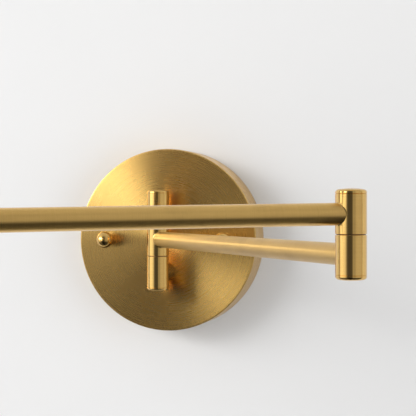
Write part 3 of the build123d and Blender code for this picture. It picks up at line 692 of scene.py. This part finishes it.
def braze_fillet(name, centre, run, body):
    """The fillet where a tube that leaves the barrel along run meets it."""
    side = run.cross(Vector((0, 0, 1))).normalized()
    up = side.cross(run)
    data = bpy.data.meshes.new(name)

    def saddle(angle):
        spoke = side * math.cos(angle) + up * math.sin(angle)
        start = spoke * TUBE_R
        flat_start, flat_run = start * FLAT, run * FLAT
        half = flat_start.dot(flat_run)
        short = flat_start.length_squared - BARREL_R ** 2
        slide = math.sqrt(half * half - flat_run.length_squared * short) - half
        return start + run * (slide / flat_run.length_squared), spoke

    points, faces = [], []
    ring_size = FILLET_ARC + 2
    for step in range(FILLET_STEPS):
        angle = 2 * math.pi * step / FILLET_STEPS
        corner, spoke = saddle(angle)
        along = (saddle(angle + 0.01)[0] - saddle(angle - 0.01)[0]).normalized()
        outward = (corner * FLAT).normalized()
        on_barrel = along.cross(outward)
        if on_barrel.dot(spoke) < 0:
            on_barrel.negate()
        size = FILLET * (1 + 0.12 * math.sin(3 * angle + 1) + 0.08 * math.sin(7 * angle))
        sunk = corner - (outward + spoke) * FILLET_SUNK
        points.append(centre + corner - (outward + spoke) * FILLET_ROOT)
        for part in range(FILLET_ARC + 1):
            turn = math.pi / 2 * part / FILLET_ARC
            on_tube = run * size * (1 - math.sin(turn))
            points.append(centre + sunk + on_tube + on_barrel * size * (1 - math.cos(turn)))
    for step in range(FILLET_STEPS):
        here, after = step * ring_size, (step + 1) % FILLET_STEPS * ring_size
        for part in range(ring_size):
            beside = (part + 1) % ring_size
            faces.append((here + part, here + beside, after + beside, after + part))
    data.from_pydata(points, [], faces)
    data.polygons.foreach_set("use_smooth", [True] * len(data.polygons))
    data.materials.append(braze)
    piece = bpy.data.objects.new(name, data)
    bpy.context.scene.collection.objects.link(piece)
    mesh = bmesh.new()
    mesh.from_mesh(data)
    bmesh.ops.recalc_face_normals(mesh, faces=mesh.faces)
    mesh.to_mesh(data)
    mesh.free()
    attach(piece, body)
    return piece


for name, barrel, run, body in (
    ("braze_at_knuckle", "post_knuckle", lower_run, "lower_arm"),
    ("braze_at_elbow_lower", "elbow_lower_barrel", -lower_run, "lower_arm"),
    ("braze_at_elbow_upper", "elbow_upper_barrel", upper_run, "upper_arm"),
    ("braze_at_end_barrel", "end_barrel", -upper_run, "upper_arm"),
):
    made = braze_fillet(name, middle(barrel), run, body)
    print(name, len(made.data.polygons), "faces at", [round(v, 4) for v in middle(barrel)])

# %% [markdown]
# ## Wall and floor
#
# The lamp hangs on a pale wall over a pale floor. The wall is seen from the room
# only: from behind it is clear, and it has a round hole for the wall box, so that
# light gets into the canopy and its inside can be looked at. The floor is left out
# of the brass's reflections, which in the photograph are dark below.

# %% Stage
def sheet_of_stage(name, corners, material, faces=((0, 1, 2, 3),)):
    data = bpy.data.meshes.new(name)
    data.from_pydata(corners, [], faces)
    data.materials.append(material)
    made = bpy.data.objects.new(name, data)
    bpy.context.scene.collection.objects.link(made)
    return made


def stage_material(name, tone, one_way=False):
    made, tree, shader = start_material(name, Roughness=0.9, Specular_IOR_Level=0.1)
    place = add(tree, "TexCoord").outputs["Object"]
    cloud = use_group(tree, smudges, Size=1.5, Start=0.2, End=0.8)
    join(tree, place, cloud.inputs["Place"])
    mix = add(tree, "Mix", data_type="RGBA")
    mix.inputs["A"].default_value = (tone, tone, tone, 1)
    mix.inputs["B"].default_value = (tone * 0.985, tone * 0.985, tone * 0.985, 1)
    join(tree, cloud.outputs["Mask"], mix.inputs["Factor"])
    join(tree, mix.outputs["Result"], shader.inputs["Base Color"])
    if one_way:
        clear = add(tree, "BsdfTransparent")
        choose = add(tree, "MixShader")
        side = add(tree, "NewGeometry")
        join(tree, side.outputs["Backfacing"], choose.inputs["Fac"])
        join(tree, shader.outputs["BSDF"], choose.inputs[1])
        join(tree, clear.outputs["BSDF"], choose.inputs[2])
        join(tree, choose.outputs["Shader"], tree.nodes["Material Output"].inputs["Surface"])
    return made


FLOOR = -1.10
WALL_SIDE, WALL_TOP, WALL_Y = 2.5, 2.2, 0.0004
BOX_HOLE = 0.052
HOLE_STEPS = 64
TINY = 1e-9


def wall_points():
    """The wall's outline and the round hole of its wall box, angle by angle."""
    corners = [(x, z) for z in (WALL_TOP, FLOOR) for x in (-WALL_SIDE, WALL_SIDE)]
    turns = [math.atan2(z, x) % math.tau for x, z in corners]
    turns = sorted(turns + [math.tau * step / HOLE_STEPS for step in range(HOLE_STEPS)])
    outline, hole = [], []
    for angle in turns:
        x, z = math.cos(angle), math.sin(angle)
        height = WALL_TOP if z > 0 else -FLOOR
        reach = min(WALL_SIDE / max(abs(x), TINY), height / max(abs(z), TINY))
        outline.append((x * reach, WALL_Y, z * reach))
        hole.append((x * BOX_HOLE, WALL_Y, z * BOX_HOLE))
    return outline, hole


outline, hole = wall_points()
count = len(outline)
sheet_of_stage(
    "wall", outline + hole, stage_material("pale wall", 0.86, one_way=True),
    [(i, (i + 1) % count, count + (i + 1) % count, count + i) for i in range(count)],
)
FLOOR_FRONT, FLOOR_BACK = -2.5, 2.0
floor_corners = [
    (-WALL_SIDE, FLOOR_FRONT, FLOOR), (WALL_SIDE, FLOOR_FRONT, FLOOR),
    (WALL_SIDE, FLOOR_BACK, FLOOR), (-WALL_SIDE, FLOOR_BACK, FLOOR),
]
floor = sheet_of_stage("floor", floor_corners, stage_material("pale floor", 0.7))
floor.visible_glossy = False
print("wall of", count, "faces, with a hole of", BOX_HOLE, "m")


# %% [markdown]
# ## Lights
#
# One tall soft light stands at the left, as in the photograph. Polished brass shows
# its outline, so its brightness rises and falls smoothly across its width and
# height. A weak fill from the right lifts the wall and stays out of reflections.

# %% Lights
def soft_light(name, place, aim, width, height, radiance):
    """A rectangular lamp of an even brightness. radiance is what a mirror would show of it."""
    data = bpy.data.lights.new(name, "AREA")
    data.shape = "RECTANGLE"
    data.size, data.size_y = width, height
    data.energy = radiance * math.pi * width * height
    made = bpy.data.objects.new(name, data)
    made.location = place
    turn = (Vector(aim) - Vector(place)).to_track_quat("-Z", "Y")
    made.rotation_euler = turn.to_euler()
    made.visible_camera = False
    bpy.context.scene.collection.objects.link(made)
    return made


KEY_AWAY = 2.0
KEY_BEARING = math.radians(-43)
KEY_FROM, KEY_TO = -1.25, 1.15
KEY_LOW, KEY_HIGH = -0.10, 1.02
KEY_RADIANCE = 10.5
key_middle = Vector((math.sin(KEY_BEARING), -math.cos(KEY_BEARING), 0)) * KEY_AWAY
key_across = Vector((math.cos(KEY_BEARING), math.sin(KEY_BEARING), 0))
key_height = Vector((0, 0, (KEY_LOW + KEY_HIGH) / 2))
key_place = key_middle + key_across * (KEY_FROM + KEY_TO) / 2 + key_height
key_aim = key_place - key_middle
key = soft_light(
    "key light", key_place, key_aim, KEY_TO - KEY_FROM, KEY_HIGH - KEY_LOW, KEY_RADIANCE
)


def soften(light, across, sides, heights):
    """Lets a lamp's brightness rise and fall smoothly across its width and its height."""
    light.data.use_nodes = True
    tree = light.data.node_tree
    place = add(tree, "NewGeometry").outputs["Position"]
    sideways = add(tree, "VectorMath", operation="DOT_PRODUCT")
    sideways.inputs[1].default_value = across
    join(tree, place, sideways.inputs[0])
    upwards = add(tree, "VectorMath", operation="DOT_PRODUCT")
    upwards.inputs[1].default_value = (0, 0, 1)
    join(tree, place, upwards.inputs[0])
    glow = None
    for measured, ends in ((sideways, sides), (upwards, heights)):
        for dark_at, bright_at in ends:
            ramp = add(tree, "MapRange", interpolation_type="SMOOTHSTEP")
            low, high = sorted((dark_at, bright_at))
            ramp.inputs["From Min"].default_value = low
            ramp.inputs["From Max"].default_value = high
            ramp.inputs["To Min"].default_value = 0 if dark_at < bright_at else 1
            ramp.inputs["To Max"].default_value = 1 if dark_at < bright_at else 0
            join(tree, measured.outputs["Value"], ramp.inputs["Value"])
            if glow is None:
                glow = ramp.outputs["Result"]
            else:
                both = add(tree, "Math", operation="MULTIPLY")
                join(tree, glow, both.inputs[0])
                join(tree, ramp.outputs["Result"], both.inputs[1])
                glow = both.outputs[0]
    join(tree, glow, tree.nodes["Emission"].inputs["Strength"])


key_sides = [(KEY_FROM, KEY_FROM + 0.3), (KEY_TO, KEY_TO - 0.72)]
key_heights = [(KEY_LOW, 0.93), (1.0, 0.65)]
soften(key, key_across, key_sides, key_heights)
fill = soft_light("right fill", (1.5, -1.0, 0.0), (0.2, 0, 0.0), 1.4, 1.4, 1.5)
fill.visible_glossy = False
print("key", [round(v, 2) for v in key_place], "softened; fill unseen in reflections")

# %% [markdown]
# ## The room that brass reflects
#
# Polished brass shows its surroundings, so the room needs some shape: bright at the
# left, dark behind the camera and below, and middling at the right and overhead.
# The table gives its brightness by bearing, in degrees to the right of straight
# out of the wall. The camera itself sees plain near-white.

# %% World
world = bpy.data.worlds.new("studio room")
world.use_nodes = True
bpy.context.scene.world = world
sky = world.node_tree
background = sky.nodes["Background"]
direction = add(sky, "TexCoord").outputs["Generated"]
parts = add(sky, "SeparateXYZ")
join(sky, direction, parts.inputs[0])
outwards = add(sky, "Math", operation="MULTIPLY")
outwards.inputs[1].default_value = -1
join(sky, parts.outputs["Y"], outwards.inputs[0])
bearing = add(sky, "Math", operation="ARCTAN2")
join(sky, parts.outputs["X"], bearing.inputs[0])
join(sky, outwards.outputs[0], bearing.inputs[1])
around = add(sky, "ValToRGB")
around.color_ramp.interpolation = "LINEAR"
ROOM = [
    (-180, 0.30), (-100, 0.30), (-86, 0.45), (-78, 1.30), (-64, 1.50),
    (-50, 1.25), (-39, 1.05), (-31, 0.66), (-25, 0.28), (-19, 0.12),
    (-12, 0.09), (12, 0.09), (22, 0.40), (27, 0.60), (32, 0.36),
    (42, 0.62), (60, 0.68), (90, 0.62), (180, 0.35),
]
CEILING, SEEN = 0.65, 0.86
stops = around.color_ramp.elements
for number, (degrees, glow) in enumerate(ROOM):
    place = (degrees + 180) / 360
    stop = stops[number] if number < 2 else stops.new(place)
    stop.position = place
    stop.color = (glow, glow, glow, 1)
join(sky, spread(sky, bearing.outputs[0], 0, 1, -math.pi, math.pi), around.inputs["Fac"])
ceiling = add(sky, "MapRange", interpolation_type="SMOOTHSTEP")
ceiling.inputs["From Min"].default_value = 0.55
ceiling.inputs["From Max"].default_value = 0.95
join(sky, parts.outputs["Z"], ceiling.inputs["Value"])
overhead = add(sky, "Mix", data_type="FLOAT")
overhead.inputs["B"].default_value = CEILING
join(sky, ceiling.outputs["Result"], overhead.inputs["Factor"])
join(sky, around.outputs["Color"], overhead.inputs["A"])
low = add(sky, "MapRange", interpolation_type="SMOOTHSTEP")
low.inputs["From Min"].default_value = -0.60
low.inputs["From Max"].default_value = -0.04
low.inputs["To Min"].default_value = 0.10
low.inputs["To Max"].default_value = 1.0
join(sky, parts.outputs["Z"], low.inputs["Value"])
room = add(sky, "Math", operation="MULTIPLY")
join(sky, overhead.outputs["Result"], room.inputs[0])
join(sky, low.outputs["Result"], room.inputs[1])
rays = add(sky, "LightPath")
seen = add(sky, "Mix", data_type="FLOAT")
seen.inputs["B"].default_value = SEEN
join(sky, rays.outputs["Is Camera Ray"], seen.inputs["Factor"])
join(sky, room.outputs[0], seen.inputs["A"])
join(sky, seen.outputs["Result"], background.inputs["Strength"])
background.inputs["Color"].default_value = (1, 1, 1, 1)

# %% [markdown]
# ## Finish
#
# The view transform stays Standard, so that a colour renders about as it is written.

# %% Finish
bpy.context.scene.view_settings.view_transform = "Standard"
